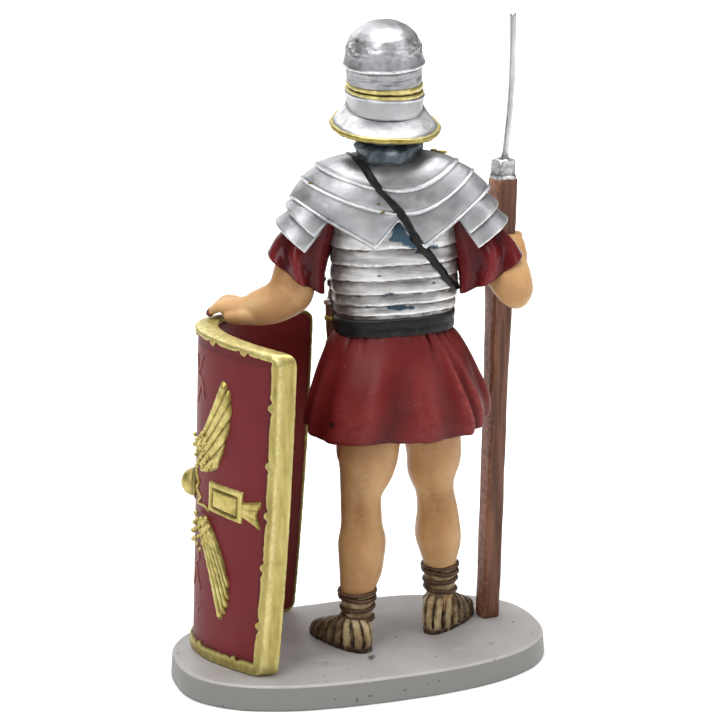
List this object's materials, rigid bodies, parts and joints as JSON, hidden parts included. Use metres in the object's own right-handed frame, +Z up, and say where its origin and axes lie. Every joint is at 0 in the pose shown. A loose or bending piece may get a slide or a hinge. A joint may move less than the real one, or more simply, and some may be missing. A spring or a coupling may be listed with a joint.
{
  "type": "roman soldier statue",
  "caption": "Painted figurine of a standing Roman soldier in plate armour and red tunic, with a curved shield and a spear, on an oval base",
  "frame": {"origin": "centre of the base's underside", "axes": "+Z up from the base to the crown, +X along the base's long side towards the shield, +Y towards the soldier's back"},
  "size_m": [0.075, 0.042, 0.1253],
  "materials": {
    "grey_paint": "satin painted resin",
    "silver_paint": "hand-painted cast figure, mostly bright silver with a dark wash",
    "red_paint": "dark red satin paint with gold relief",
    "brown_paint": "brown satin paint",
    "bare_wire": "bare drawn wire"
  },
  "bodies": {
    "root": {"base": "grey_paint", "soldier": "silver_paint", "shield": "red_paint", "pilum_shaft": "brown_paint", "pilum_shank": "bare_wire"}
  },
  "joints": []
}
